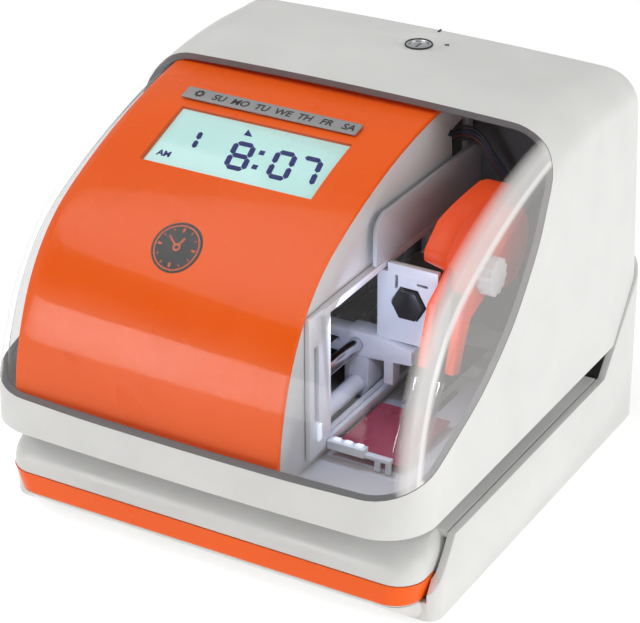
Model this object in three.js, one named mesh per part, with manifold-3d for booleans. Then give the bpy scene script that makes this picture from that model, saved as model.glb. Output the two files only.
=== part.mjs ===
// Desk time recorder with a curved clear window, an orange fascia and an open paper throat.
// Millimetres, +X right, +Y back, +Z up. The parts are drawn from the front bottom edge of the
// base, and the whole machine is then lifted onto its feet and centred on the footprint.
import * as THREE from 'three';
import { mergeVertices } from 'three/addons/utils/BufferGeometryUtils.js';
import Module from 'manifold-3d';

const wasm = await Module();
wasm.setup();

// ---- driving dimensions --------------------------------------------------------------------
const WELD = 1e-4;
const GAP = 0.3;
const FOOT_HEIGHT = 2;
const REAR_Y = 161;
const LIP_Y = -18;
const HINGE_Y = REAR_Y + 0.6;
const HINGE_Z = 63.6;
const KNUCKLE_RADIUS = 3.2;
const FOOTPRINT_CENTRE_Y = (LIP_Y + HINGE_Y + KNUCKLE_RADIUS) / 2;

const BASE_HALF = 83.2;
const TABLE_Z = 27.3;
const THROAT_TOP_Z = 37;
const SEAM_FRONT_Y = 129;
const SEAM_TOP_Z = 64;
const BASE_WALL = 2.6;

const COVER_HALF = 82.6;
const COVER_WALL = 2.4;
const COVER_DRAFT = Math.tan(THREE.MathUtils.degToRad(2));
const CROWN_BOW = 1;
const LIP_TOP_Z = 50;
const WINDOW_TOP_Y = 90;
const WINDOW_WALL = 2.2;
const REAR_TOP_RADIUS = 15;
const REAR_TOP_Z = 138.2;
const SIDE_ROUNDING = { front: 19, top: 14, swell: 4.5 };
const REAR_CORNER_RADIUS = 8;

const FASCIA_LEFT = -69.2;
const FASCIA_RIGHT = 33;
const FASCIA_DEPTH = 4.6;
const FASCIA_WALL = 2;

const FRAME_WALL = 2;
const RIGHT_FRAME_X = 30.2;
const LEFT_FRAME_X = -68.9;
const REAR_FRAME_Y = 122;

const SHAFT_X = 25;
const SHAFT_RADIUS = 2.5;
const LOWER_SHAFT_RADIUS = 3.2;
const SHAFT_END_Y = REAR_FRAME_Y + 5;
const UPPER_SHAFT_Z = 62.5;
const LOWER_SHAFT_Z = 47.5;
const BORE_CLEARANCE = 0.08;

const BELT_X = 14;
const BELT_Z = 56;
const PULLEY_RADIUS = 6;
const DRIVE_Y = 106;
const IDLER_Y = 14;

const LOCK_X = 4.1;
const LOCK_Y = 134;
const CARRIAGE_Y = 55;

// The outside of the cover seen from the side: two smooth curves from the lip to the rear.
const CROWN_FRONT = [[LIP_Y, LIP_TOP_Z], [-17.5, 58.8], [-12.8, 98.9], [19.6, 116.2]];
const CROWN_TOP = [[19.6, 116.2], [41.8, 128], [80.3, 142.6], [131, 138.9]];

// ---- solids ---------------------------------------------------------------------------------
function solid(geometry) {
  const bare = geometry.index ? geometry.toNonIndexed() : geometry.clone();
  bare.deleteAttribute('normal');
  bare.deleteAttribute('uv');
  const merged = mergeVertices(bare, WELD);
  const index = merged.index.array;
  const triangles = [];
  for (let i = 0; i < index.length; i += 3) {
    const [a, b, c] = [index[i], index[i + 1], index[i + 2]];
    if (a !== b && b !== c && c !== a) triangles.push(a, b, c);
  }
  return new wasm.Manifold(new wasm.Mesh({
    numProp: 3,
    vertProperties: Float32Array.from(merged.attributes.position.array),
    triVerts: Uint32Array.from(triangles),
  }));
}

function geometryOf(manifold) {
  const mesh = manifold.getMesh();
  const geometry = new THREE.BufferGeometry();
  geometry.setAttribute('position', new THREE.BufferAttribute(mesh.vertProperties, 3));
  geometry.setIndex(new THREE.BufferAttribute(mesh.triVerts, 1));
  return geometry;
}

const join = (first, ...rest) => rest.reduce((sum, next) => sum.add(next), first);
const cut = (first, ...rest) => rest.reduce((left, next) => left.subtract(next), first);

function box(x0, x1, y0, y1, z0, z1) {
  const geometry = new THREE.BoxGeometry(x1 - x0, y1 - y0, z1 - z0);
  return solid(geometry.translate((x0 + x1) / 2, (y0 + y1) / 2, (z0 + z1) / 2));
}

const AXES = {
  x: [new THREE.Vector3(0, 1, 0), new THREE.Vector3(0, 0, 1), new THREE.Vector3(1, 0, 0)],
  y: [new THREE.Vector3(0, 0, 1), new THREE.Vector3(1, 0, 0), new THREE.Vector3(0, 1, 0)],
  z: [new THREE.Vector3(1, 0, 0), new THREE.Vector3(0, 1, 0), new THREE.Vector3(0, 0, 1)],
};

// A flat outline run along one axis: (y, z) along x, (z, x) along y or (x, y) along z.
function prism(axis, points, from, to, curveSegments = 6) {
  const shape = Array.isArray(points) ? new THREE.Shape(points.map((p) => new THREE.Vector2(...p))) : points;
  const geometry = new THREE.ExtrudeGeometry(shape, { depth: to - from, bevelEnabled: false, curveSegments });
  const turn = new THREE.Matrix4().makeBasis(...AXES[axis]);
  return solid(geometry.translate(0, 0, from).applyMatrix4(turn));
}

function rod(axis, u, v, radius, from, to, sides = 20) {
  const circle = new THREE.Shape().absarc(u, v, radius, 0, 2 * Math.PI);
  return prism(axis, circle, from, to, Math.round(sides / 2));
}

// Corner points of a rounded rectangle, with one radius for the front pair and one for the rear.
function roundedRectangle(x0, x1, y0, y1, frontRadius, rearRadius) {
  const corners = [
    [x1 - frontRadius, y0 + frontRadius, frontRadius], [x1 - rearRadius, y1 - rearRadius, rearRadius],
    [x0 + rearRadius, y1 - rearRadius, rearRadius], [x0 + frontRadius, y0 + frontRadius, frontRadius],
  ];
  const steps = 5;
  return corners.flatMap(([x, y, radius], quarter) => Array.from({ length: steps + 1 }, (_, i) => {
    const turn = (quarter - 1 + i / steps) * (Math.PI / 2);
    return [x + radius * Math.cos(turn), y + radius * Math.sin(turn)];
  }));
}

// A closed skin over rows of points; every row has the same count, and both ends are capped.
function skin(rows, flatten) {
  const count = rows[0].length;
  const points = rows.flat();
  const index = [];
  for (let r = 0; r < rows.length - 1; r += 1) {
    for (let c = 0; c < count; c += 1) {
      const next = (c + 1) % count;
      const [a, b] = [r * count + c, r * count + next];
      const [d, e] = [(r + 1) * count + c, (r + 1) * count + next];
      index.push([a, b, e], [a, e, d]);
    }
  }
  const addCap = (row, sense) => {
    const ring = rows[row].map(flatten);
    const turn = Math.sign(THREE.ShapeUtils.area(ring)) * sense;
    THREE.ShapeUtils.triangulateShape(ring, []).forEach(([a, b, c]) => {
      const same = Math.sign(THREE.ShapeUtils.area([ring[a], ring[b], ring[c]])) === turn;
      const start = row * count;
      index.push(same ? [start + a, start + b, start + c] : [start + a, start + c, start + b]);
    });
  };
  addCap(0, -1);
  addCap(rows.length - 1, 1);
  const volume = index.reduce((sum, [a, b, c]) => {
    const [p, q, r] = [a, b, c].map((i) => new THREE.Vector3(...points[i]));
    return sum + p.dot(q.cross(r));
  }, 0);
  const outward = volume > 0 ? index : index.map(([a, b, c]) => [a, c, b]);
  const geometry = new THREE.BufferGeometry();
  geometry.setAttribute('position', new THREE.Float32BufferAttribute(points.flat(), 3));
  geometry.setIndex(outward.flat());
  return solid(geometry);
}

// ---- outer form -----------------------------------------------------------------------------
const crownCurve = new THREE.CurvePath();
[CROWN_FRONT, CROWN_TOP].forEach((control) => {
  crownCurve.add(new THREE.CubicBezierCurve(...control.map(([y, z]) => new THREE.Vector2(y, z))));
});
const sideRounding = (t) => {
  const { front, top, swell } = SIDE_ROUNDING;
  return front + (top - front) * t + swell * Math.sin(Math.PI * t);
};

function crownSamples(inset, count = 26, from = 0, to = 1) {
  return Array.from({ length: count }, (_, i) => {
    const t = from + ((to - from) * i) / (count - 1);
    const p = crownCurve.getPointAt(t);
    const tangent = crownCurve.getTangentAt(t);
    return [p.x + tangent.y * inset, p.y - tangent.x * inset];
  });
}

const coverHalfAt = (z) => COVER_HALF - Math.max(0, z - THROAT_TOP_Z) * COVER_DRAFT;

// Points of the cover outline with their outward normals and the rounding toward the sides.
function coverOutline(floorZ) {
  const outline = [{ y: LIP_Y, z: floorZ, ny: -1, nz: 0, r: SIDE_ROUNDING.front }];
  const steps = 26;
  for (let i = 0; i <= steps; i += 1) {
    const p = crownCurve.getPointAt(i / steps);
    const t = crownCurve.getTangentAt(i / steps);
    outline.push({ y: p.x, z: p.y, ny: -t.y, nz: t.x, r: sideRounding(i / steps) });
  }
  const centreY = REAR_Y - REAR_TOP_RADIUS;
  for (let i = 0; i <= 6; i += 1) {
    const turn = (i / 6) * (Math.PI / 2);
    const [ny, nz] = [Math.sin(turn), Math.cos(turn)];
    outline.push({
      y: centreY + REAR_TOP_RADIUS * ny,
      z: REAR_TOP_Z - REAR_TOP_RADIUS + REAR_TOP_RADIUS * nz,
      ny,
      nz,
      r: SIDE_ROUNDING.top - ((SIDE_ROUNDING.top - REAR_CORNER_RADIUS) * i) / 6,
    });
  }
  outline.push({ y: REAR_Y, z: floorZ, ny: 1, nz: 0, r: REAR_CORNER_RADIUS });
  return outline;
}

// The whole cover as a solid, inset by a wall; the floor is flat at floorZ.
function coverSolid(inset, floorZ) {
  const outline = coverOutline(floorZ);
  const arcSteps = 4;
  const bowSteps = 4;
  const first = outline[0];
  const last = outline[outline.length - 1];
  const ends = [
    { y: last.y - last.r, z: floorZ, ny: 1, nz: 0, r: inset, flat: true },
    { y: first.y + first.r, z: floorZ, ny: -1, nz: 0, r: inset, flat: true },
  ];
  const rings = [...outline, ...ends];
  const columns = [];
  for (let k = 0; k <= arcSteps; k += 1) columns.push({ side: -1, turn: (k / arcSteps) * (Math.PI / 2) });
  for (let k = 1; k < bowSteps; k += 1) columns.push({ side: -1 + (2 * k) / bowSteps, turn: null });
  for (let k = arcSteps; k >= 0; k -= 1) columns.push({ side: 1, turn: (k / arcSteps) * (Math.PI / 2) });
  const grid = columns.map(({ side, turn }) => rings.map(({ y, z, ny, nz, r, flat }) => {
    const round = Math.max(r - inset, 0);
    const depth = turn === null ? 0 : round * (1 - Math.sin(turn));
    const bow = flat ? 0 : CROWN_BOW * (turn === null ? side * side : 1);
    const drop = flat ? 0 : inset + depth + bow * Math.sin(turn === null ? Math.PI / 2 : turn);
    const py = y - ny * drop;
    const pz = z - nz * drop;
    const half = coverHalfAt(pz) - inset;
    const px = turn === null ? side * (half - round) : side * (half - round * (1 - Math.cos(turn)));
    return [px, py, pz];
  }));
  return skin(grid, ([, y, z]) => new THREE.Vector2(y, z));
}

// The window region, seen from the side: ahead of the crescent edge, above the lip.
function windowRegion(shrink) {
  const edge = new THREE.SplineCurve([
    [LIP_Y + 1, LIP_TOP_Z + 0.6], [-6, 54.2], [8, 58.7], [31, 67.2], [47.5, 76.6], [60, 86.4], [74, 102],
    [82, 116], [WINDOW_TOP_Y - 1, 129], [WINDOW_TOP_Y, 134],
  ].map(([y, z]) => new THREE.Vector2(y, z)));
  const points = edge.getPoints(22).map((p, i) => {
    const t = edge.getTangent(i / 22);
    return [p.x - t.y * shrink, p.y + t.x * shrink];
  });
  const lipZ = LIP_TOP_Z + shrink;
  const seamY = WINDOW_TOP_Y - shrink;
  return [[LIP_Y - 20, lipZ], [LIP_Y + 0.4, lipZ], ...points, [seamY, 160], [LIP_Y - 20, 160]];
}

const belowSeam = (offset) => {
  const run = REAR_Y - SEAM_FRONT_Y;
  const rise = SEAM_TOP_Z - TABLE_Z;
  const length = Math.hypot(run, rise);
  const shift = [(-offset * rise) / length, (offset * run) / length];
  const at = (t) => [SEAM_FRONT_Y + run * t + shift[0], TABLE_Z + rise * t + shift[1]];
  return [at(-1), at(1.6), [REAR_Y + 60, 0], [REAR_Y, -40]];
};

const machine = new THREE.Group();
machine.position.set(0, -FOOTPRINT_CENTRE_Y, FOOT_HEIGHT);

function place(name, manifold, material) {
  const mesh = new THREE.Mesh(geometryOf(manifold), material);
  mesh.name = name;
  machine.add(mesh);
}

const look = (color, roughness, metalness = 0, opacity = 1) => new THREE.MeshStandardMaterial({
  color, roughness, metalness, opacity, transparent: opacity < 1,
});
const WHITE = look(0xe9e9e6, 0.45);
const GREY = look(0xc9cac6, 0.5);
const ORANGE = look(0xe4481a, 0.3);
const CLEAR = look(0xdfe4e8, 0.08, 0, 0.3);
const SMOKE = look(0x6f7176, 0.2, 0, 0.7);
const DARK = look(0x202125, 0.5);
const STEEL = look(0xb8babd, 0.35, 0.9);
const RUBBER = look(0x1b1b1c, 0.9);
const BOARD = look(0x1f5a35, 0.6);
const RED = look(0xa32633, 0.3, 0, 0.8);

// ---- base -----------------------------------------------------------------------------------
const TABLE_WALL = 2.6;
const CHEEK_INNER = BASE_HALF - BASE_WALL;
const NOSE_HALF = 79.4;
const NOSE_FLOOR_Z = 7.3;
const NOSE_BACK_Y = 24;
const footPlaces = [[-68, 14], [68, 14], [-68, 145], [68, 145]];
const screwPlaces = [[-50, 14], [50, 14], [-50, 145], [50, 145]];
const PLATEN = { x0: 40, x1: 52, y0: 54, y1: 96 };
const BAND = { low: 7.9, high: 16.2, depth: 1.3, proud: 0.35, back: 6 };
const INLET_Y = REAR_Y - 14;
const hingeSides = [-1, 1];
const baseKnuckle = [40.4, 50.2];
const coverKnuckles = [[34, 40], [50.6, 56]];

const hingeRod = (radius, from, to) => rod('x', HINGE_Y, HINGE_Z, radius, from, to, 24);
const mirrored = (side, [from, to], grow = 0) => (
  side > 0 ? [from - grow, to + grow] : [-to - grow, -from + grow]
);

function noseSolid(shrink, top) {
  const levels = [
    [NOSE_FLOOR_Z, -8, 77.4], [16.7, -9.3, NOSE_HALF], [20.5, -8.6, NOSE_HALF], [23.6, -6.9, NOSE_HALF - 0.6],
    [25.8, -4.2, NOSE_HALF - 1.8], [27, -0.8, NOSE_HALF - 3], [TABLE_Z, 2, NOSE_HALF - 3.6],
  ].map(([z, y, half]) => [Math.min(z, top), y + shrink, half - shrink]);
  const rings = levels.map(([z, y, half]) => roundedRectangle(-half, half, y, NOSE_BACK_Y, 10 - shrink, 1)
    .map(([px, py]) => [px, py, z]));
  if (shrink > 0) rings.unshift(rings[0].map(([x, y]) => [x, y, 0]));
  return skin(rings, ([x, y]) => new THREE.Vector2(x, y));
}

function baseShell() {
  const side = [
    [0, 0], [REAR_Y, 0], [REAR_Y, SEAM_TOP_Z], [SEAM_FRONT_Y, TABLE_Z],
    [13, TABLE_Z], [9, 21.4], [4, 15.5], [0, 9.5],
  ];
  const plan = roundedRectangle(-BASE_HALF, BASE_HALF, 0, REAR_Y, 5, REAR_CORNER_RADIUS);
  const body = prism('x', side, -BASE_HALF, BASE_HALF).intersect(prism('z', plan, 0, 80));
  const chinPlan = [[0, 0, 82], [3.5, -3.6, 80], [7, -7.8, 77.4]];
  const chin = skin(chinPlan.map(([z, y, half]) => roundedRectangle(-half, half, y, 10, 9, 1)
    .map(([px, py]) => [px, py, z])), ([x, y]) => new THREE.Vector2(x, y));
  const hollowPlan = roundedRectangle(-CHEEK_INNER, CHEEK_INNER, BASE_WALL, REAR_Y - BASE_WALL, 3, 5.4);
  let shell = cut(
    join(body, chin),
    prism('z', hollowPlan, 2.2, 90),
    box(-NOSE_HALF - GAP, NOSE_HALF + GAP, -20, BASE_WALL + 1, 7, 40),
    box(-58, -38, REAR_Y - 5, REAR_Y + 5, 8, 20),
  );
  hingeSides.forEach((side) => {
    shell = join(shell, hingeRod(KNUCKLE_RADIUS, ...mirrored(side, baseKnuckle)));
    coverKnuckles.forEach((span) => {
      shell = cut(shell, hingeRod(KNUCKLE_RADIUS + 0.4, ...mirrored(side, span, 0.4)));
    });
    shell = cut(shell, hingeRod(1.58, ...mirrored(side, [30, 60])));
  });
  footPlaces.forEach(([x, y]) => {
    shell = cut(shell, rod('z', x, y, 7.3, -1, 0.5));
  });
  screwPlaces.forEach(([x, y]) => {
    shell = cut(shell, rod('z', x, y, 3.3, -1, 1.2), rod('z', x, y, 1.7, -1, 4));
  });
  place('base_shell', shell, WHITE);
}

function feetAndScrews() {
  const names = ['front_left', 'front_right', 'rear_left', 'rear_right'];
  footPlaces.forEach(([x, y], i) => {
    place(`foot_${names[i]}`, rod('z', x, y, 7, -FOOT_HEIGHT, 0.2), RUBBER);
  });
  screwPlaces.forEach(([x, y], i) => {
    const cross = join(
      box(x - 2, x + 2, y - 0.4, y + 0.4, 0, 0.8),
      box(x - 0.4, x + 0.4, y - 2, y + 2, 0, 0.8),
    );
    const screw = join(rod('z', x, y, 3, 0.2, 1), rod('z', x, y, 1.4, 0.9, 9));
    place(`base_screw_${names[i]}`, cut(screw, cross), STEEL);
  });
}

function paperTable() {
  const back = SEAM_FRONT_Y - 1;
  const plate = box(-CHEEK_INNER + GAP, CHEEK_INNER - GAP, 13.5, back, TABLE_Z - TABLE_WALL, TABLE_Z);
  const front = box(-NOSE_HALF + 4, NOSE_HALF - 4, 1, 14, TABLE_Z - TABLE_WALL, TABLE_Z);
  const underside = TABLE_Z - TABLE_WALL;
  const nose = cut(noseSolid(0, TABLE_Z), noseSolid(2.2, underside), box(-100, 100, 14, 40, 0, underside));
  const roundPlaten = (grow, z0, z1) => {
    const { x0, x1, y0, y1 } = PLATEN;
    return box(x0 - grow, x1 + grow, y0 - grow, y1 + grow, z0, z1);
  };
  const shelf = roundPlaten(3, 22, 23.4);
  const shelfWall = cut(roundPlaten(3, 22, 25), roundPlaten(GAP, 21, 26));
  const top = cut(join(plate, front, nose), roundPlaten(GAP, 20, 30), bandSolid(GAP / 2));
  const table = join(top, shelf, shelfWall);
  place('paper_table', table, WHITE);
}

// The orange band lies in a groove round the front of the nose.
function bandSolid(clearance) {
  const slab = box(-90, 90, -20, BAND.back + clearance, BAND.low - clearance, BAND.high + clearance);
  const outer = noseSolid(-BAND.proud, TABLE_Z);
  const inner = noseSolid(BAND.depth + clearance, TABLE_Z);
  return cut(outer, inner).intersect(slab);
}

function throatBlock() {
  const left = [-77, -65];
  const outline = (inset) => [
    [left[0] + inset, 16 + inset], [left[1] - inset, 16 + inset], [left[1] - inset, 106 + inset],
    [70 - inset, 106 + inset], [70 - inset, 127 - inset], [left[0] + inset, 127 - inset],
  ];
  const shell = cut(
    prism('z', outline(0), TABLE_Z + GAP, THROAT_TOP_Z),
    prism('z', outline(2.4), TABLE_Z - 1, THROAT_TOP_Z - 2.4),
  );
  place('throat_block', shell, GREY);
}

// ---- head frame -----------------------------------------------------------------------------
const DECK_Z = THROAT_TOP_Z + GAP;
const DECK_TOP_Z = DECK_Z + 2.4;
const STAND_Z = DECK_TOP_Z + GAP;

function deckPlate() {
  const plan = roundedRectangle(-78.8, 78.8, LIP_Y + 4.2, REAR_Y - 5, 16, 6);
  const bossPlaces = [[-58, 18], [2, 18], [-58, 84], [2, 84]];
  const bosses = bossPlaces.map(([x, y]) => rod('z', x, y, 3, DECK_TOP_Z - 1, 45.7, 12));
  const deck = cut(
    join(prism('z', plan, DECK_Z, DECK_TOP_Z), ...bosses),
    box(PLATEN.x0, PLATEN.x1, PLATEN.y0, PLATEN.y1, 30, 50),
    box(60.6, 67.4, 92, 104.6, 30, 50),
  );
  place('deck_plate', deck, WHITE);
}

const frameOutline = (backY, topZ) => [
  [-9.2, STAND_Z], ...crownSamples(FASCIA_DEPTH + FASCIA_WALL + GAP, 16, 0, 0.8),
  [backY, topZ], [backY, STAND_Z],
];

function sideFrames() {
  const opening = box(20, 40, 18.5, 88, 46.5, 92.4);
  const cableWindow = prism('x', [
    [106.3, 109.8], [117.2, 109.8], [117.2, 124], [108, 122.6], [106, 121.8], [104.5, 122.3], [102.5, 121],
    [105.5, 119.4],
  ], 20, 40);
  const right = cut(
    prism('x', frameOutline(REAR_FRAME_Y - GAP, 130.5), RIGHT_FRAME_X, RIGHT_FRAME_X + FRAME_WALL),
    opening,
    cableWindow,
  );
  place('side_frame_right', right, GREY);
  const left = cut(
    prism('x', frameOutline(REAR_FRAME_Y - GAP, 130.5), LEFT_FRAME_X, LEFT_FRAME_X + FRAME_WALL),
    box(-80, -60, 30, 80, 60, 84),
  );
  place('side_frame_left', left, GREY);
}

function rearFrame() {
  const plate = box(LEFT_FRAME_X, 73, REAR_FRAME_Y, REAR_FRAME_Y + 2, STAND_Z, 130);
  const bore = SHAFT_RADIUS + BORE_CLEARANCE;
  const lowerBore = LOWER_SHAFT_RADIUS + BORE_CLEARANCE;
  const frame = cut(
    plate,
    rod('y', UPPER_SHAFT_Z, SHAFT_X, bore, 110, 130),
    rod('y', LOWER_SHAFT_Z, SHAFT_X, lowerBore, 110, 130),
    box(LOCK_X - 7, LOCK_X + 15, 110, 130, 119.4, 125.2),
    box(-60, -30, 110, 130, 50, 66),
  );
  place('rear_frame', frame, STEEL);
}

function windowFrame() {
  const x0 = RIGHT_FRAME_X + FRAME_WALL + GAP;
  const frame = cut(
    join(box(x0, x0 + 1.8, 5, 90, 44, 95.4), box(x0, x0 + 2.5, 14, 112, 93, 95.6)),
    box(20, 50, 18.5, 86, 46.5, 92.7),
    box(20, 50, 8, 11, 56, 84),
  );
  place('print_window_frame', frame, WHITE);
  const lamp = join(
    box(x0 + 2.3, 48.5, 14.8, 18, 44, 47),
    box(48, 58, 15.4, 17.6, 44, 45.4),
    box(52, 54, 15.6, 16.6, STAND_Z, 44.5),
    box(56, 58, 15.6, 16.6, STAND_Z, 44.5),
  );
  place('lamp_bar', lamp, WHITE);
  const smoke = new THREE.Shape();
  smoke.moveTo(45.4, 97);
  smoke.lineTo(45.4, 107.6);
  smoke.absarc(52, 107.6, 6.6, Math.PI, Math.PI / 2, true);
  smoke.lineTo(121, 113.6);
  smoke.lineTo(121, 97);
  place('smoked_plate', prism('x', smoke, x0 + 2.2, x0 + 3.6), SMOKE);
}

// ---- display --------------------------------------------------------------------------------
const LCD = { x: -17.1, y: 51.1, z: 124.9, tilt: Math.atan2(9.2, 26), width: 65.6, height: 27.8 };
const STRIP = { x: -18.9, y: 71.2, z: 131.3, tilt: Math.atan2(1.45, 5.9), width: 68, height: 6 };
const EMBLEM = { x: -19.1, y: 11.6, z: 105.6, radius: 9.1 };

function onFascia(spot, width, height, low, high) {
  const geometry = new THREE.BoxGeometry(width, height, high - low);
  geometry.translate(0, 0, (low + high) / 2).rotateX(spot.tilt).translate(spot.x, spot.y, spot.z);
  return solid(geometry);
}

function crownSlab(near, far, x0, x1, from, to) {
  const front = crownSamples(near, 24, from, to);
  const back = crownSamples(far, 24, from, to).reverse();
  return prism('x', [...front, ...back], x0, x1);
}

const emblemColumn = (radius) => {
  const tilt = 0.72;
  const geometry = new THREE.CylinderGeometry(radius, radius, 20, 28).rotateX(Math.PI / 2 + tilt);
  return solid(geometry.translate(EMBLEM.x, EMBLEM.y, EMBLEM.z));
};

function fascia() {
  const depth = FASCIA_DEPTH;
  const skirt = box(FASCIA_LEFT, FASCIA_RIGHT, LIP_Y + depth + 0.1, LIP_Y + depth + 2, 45, LIP_TOP_Z + 1);
  const panel = cut(
    join(crownSlab(depth, depth + FASCIA_WALL, FASCIA_LEFT, FASCIA_RIGHT, 0, 0.86), skirt),
    onFascia(LCD, LCD.width + 0.6, LCD.height + 0.6, -8, 8),
    onFascia(STRIP, STRIP.width + GAP, STRIP.height + GAP, -0.8, 3),
    emblemColumn(EMBLEM.radius + 0.15).intersect(crownSlab(depth - 1, depth + 0.6, -40, 0, 0, 0.5)),
  );
  place('fascia', panel.intersect(coverSolid(WINDOW_WALL + 0.4, 20)), ORANGE);
  place('lcd_lens', onFascia(LCD, LCD.width, LCD.height, -1.4, -0.2), CLEAR);
  const module = join(
    onFascia(LCD, LCD.width, LCD.height, -3.8, -1.7),
    onFascia(LCD, LCD.width + 5, LCD.height + 5, -6.4, -3.6),
  );
  place('lcd_module', module, look(0xc6ebe4, 0.4));
  place('display_board', onFascia(LCD, LCD.width + 18, 48, -9.4, -7.8), BOARD);
  place('day_strip', onFascia(STRIP, STRIP.width, STRIP.height, -0.6, 0.25), GREY);
  const disc = emblemColumn(EMBLEM.radius).intersect(crownSlab(depth - 0.15, depth + 0.35, -40, 0, 0, 0.5));
  place('emblem_disc', disc, DARK);
}

function buttonPanel() {
  const z = 127.9;
  const x0 = LEFT_FRAME_X + FRAME_WALL + GAP;
  const centres = [-50, -36, -22];
  const holes = centres.map((x) => rod('z', x, 107, 2.9 + BORE_CLEARANCE, z - 5, z + 5, 16));
  place('button_panel', cut(box(x0, RIGHT_FRAME_X - GAP, 98, REAR_FRAME_Y - GAP, z - 2, z), ...holes), GREY);
  centres.forEach((x, i) => {
    const button = join(rod('z', x, 107, 2.9, z - 4, z + 3, 16), rod('z', x, 107, 3.9, z - 5, z - 3.6, 16));
    place(`setting_button_${i + 1}`, button, DARK);
  });
}

// ---- print unit -----------------------------------------------------------------------------
function guideShafts() {
  place('guide_shaft_upper', rod('y', UPPER_SHAFT_Z, SHAFT_X, SHAFT_RADIUS, 3, SHAFT_END_Y), STEEL);
  place('guide_shaft_lower', rod('y', LOWER_SHAFT_Z, SHAFT_X, LOWER_SHAFT_RADIUS, 3, SHAFT_END_Y), WHITE);
  const bore = SHAFT_RADIUS + BORE_CLEARANCE;
  const lowerBore = LOWER_SHAFT_RADIUS + BORE_CLEARANCE;
  const block = cut(
    box(18, 29.9, 4, 8, STAND_Z, 68),
    rod('y', UPPER_SHAFT_Z, SHAFT_X, bore, 0, 12),
    rod('y', LOWER_SHAFT_Z, SHAFT_X, lowerBore, 0, 12),
  );
  place('shaft_block', block, WHITE);
}

const hexagon = (x, z, radius) => Array.from({ length: 6 }, (_, i) => {
  const turn = (i * Math.PI) / 3;
  return [z + radius * Math.sin(turn), x + radius * Math.cos(turn)];
});

const HEAD = { x: 43.6, z: 81.4 };

function carriage() {
  const ring = [CARRIAGE_Y - 3, CARRIAGE_Y + 5];
  const bore = SHAFT_RADIUS + BORE_CLEARANCE;
  const lowerBore = LOWER_SHAFT_RADIUS + BORE_CLEARANCE;
  const clip = [[57.8, 21], [67.2, 21], [67.2, 33], [64.6, 46], [59.6, 46]];
  const body = cut(
    join(
      prism('y', clip, ...ring),
      box(20.5, 29.6, ring[0], ring[1] + 2, 43, 58),
      rod('y', UPPER_SHAFT_Z, SHAFT_X, 4.9, ...ring),
      box(35.6, 39, ring[0], ring[0] + 5, 50.5, 60),
      box(31.8, 54.2, CARRIAGE_Y - 1, CARRIAGE_Y + 1, 66.5, 91.6),
      box(35.6, 54.2, CARRIAGE_Y - 1, CARRIAGE_Y + 1, 91, 95),
      box(9.5, 21, CARRIAGE_Y - 3, CARRIAGE_Y + 3, 58.4, 67),
    ),
    rod('y', UPPER_SHAFT_Z, SHAFT_X, bore, 40, 70),
    rod('y', LOWER_SHAFT_Z, SHAFT_X, lowerBore, 40, 70),
    prism('y', hexagon(HEAD.x, HEAD.z, 6.6), 50, 60),
    box(38.2, 39.4, 50, 60, 86, 91),
    box(46.5, 50.5, 50, 60, 88.6, 89.6),
    box(0, 18.4, 45, 65, BELT_Z + PULLEY_RADIUS, BELT_Z + PULLEY_RADIUS + 1.6),
  );
  place('carriage', body, WHITE);
  const back = CARRIAGE_Y + 1 + GAP;
  const head = join(
    prism('y', hexagon(HEAD.x, HEAD.z, 5.9), CARRIAGE_Y - 2.6, back + 1),
    box(37.4, 52.4, back, back + 15, 70, 92),
    box(42, 50, back + 4, back + 12, 46, 71),
  );
  place('print_head', head, DARK);
  const fins = Array.from({ length: 5 }, (_, i) => (
    box(37, 53, back + 17, back + 26, 72.5 + i * 4, 74.3 + i * 4)
  ));
  place('head_heat_sink', cut(box(38, 52, back + 15.3, back + 25, 70.6, 91.4), ...fins), STEEL);
}

function beltDrive() {
  const width = [BELT_X - 3, BELT_X + 3];
  const loop = (radius) => {
    const shape = new THREE.Shape();
    shape.absarc(IDLER_Y, BELT_Z, radius, Math.PI / 2, 1.5 * Math.PI);
    shape.absarc(DRIVE_Y, BELT_Z, radius, -Math.PI / 2, Math.PI / 2);
    return shape;
  };
  const belt = cut(
    prism('x', loop(PULLEY_RADIUS + 1.2), ...width, 10),
    prism('x', loop(PULLEY_RADIUS + 0.3), width[0] - 1, width[1] + 1, 10),
  );
  place('timing_belt', belt, RUBBER);
  const pulley = (y) => cut(
    join(
      rod('x', y, BELT_Z, PULLEY_RADIUS, width[0] - 0.4, width[1] + 0.4),
      rod('x', y, BELT_Z, 4, width[0] - 1.2, width[0]),
    ),
    rod('x', y, BELT_Z, 2 + BORE_CLEARANCE, 0, 30, 16),
  );
  place('drive_pulley', pulley(DRIVE_Y), WHITE);
  place('idler_pulley', pulley(IDLER_Y), WHITE);
  const motor = join(
    rod('x', DRIVE_Y, BELT_Z, 11.4, -17, 6.8, 28),
    box(6.4, 8.2, DRIVE_Y - 14, DRIVE_Y + 11, STAND_Z, 69),
    rod('x', DRIVE_Y, BELT_Z, 2, 8, 18.4, 16),
  );
  place('stepper_motor', motor, STEEL);
  const idler = join(
    box(6.4, 8.2, IDLER_Y - 6, IDLER_Y + 8, STAND_Z, 64),
    rod('x', IDLER_Y, BELT_Z, 2, 8, 18.4, 16),
  );
  place('idler_bracket', idler, STEEL);
}

// ---- ribbon ---------------------------------------------------------------------------------
const CASSETTE = { x0: 54.6, x1: 67.6, knobY: 60, knobZ: 96 };

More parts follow.
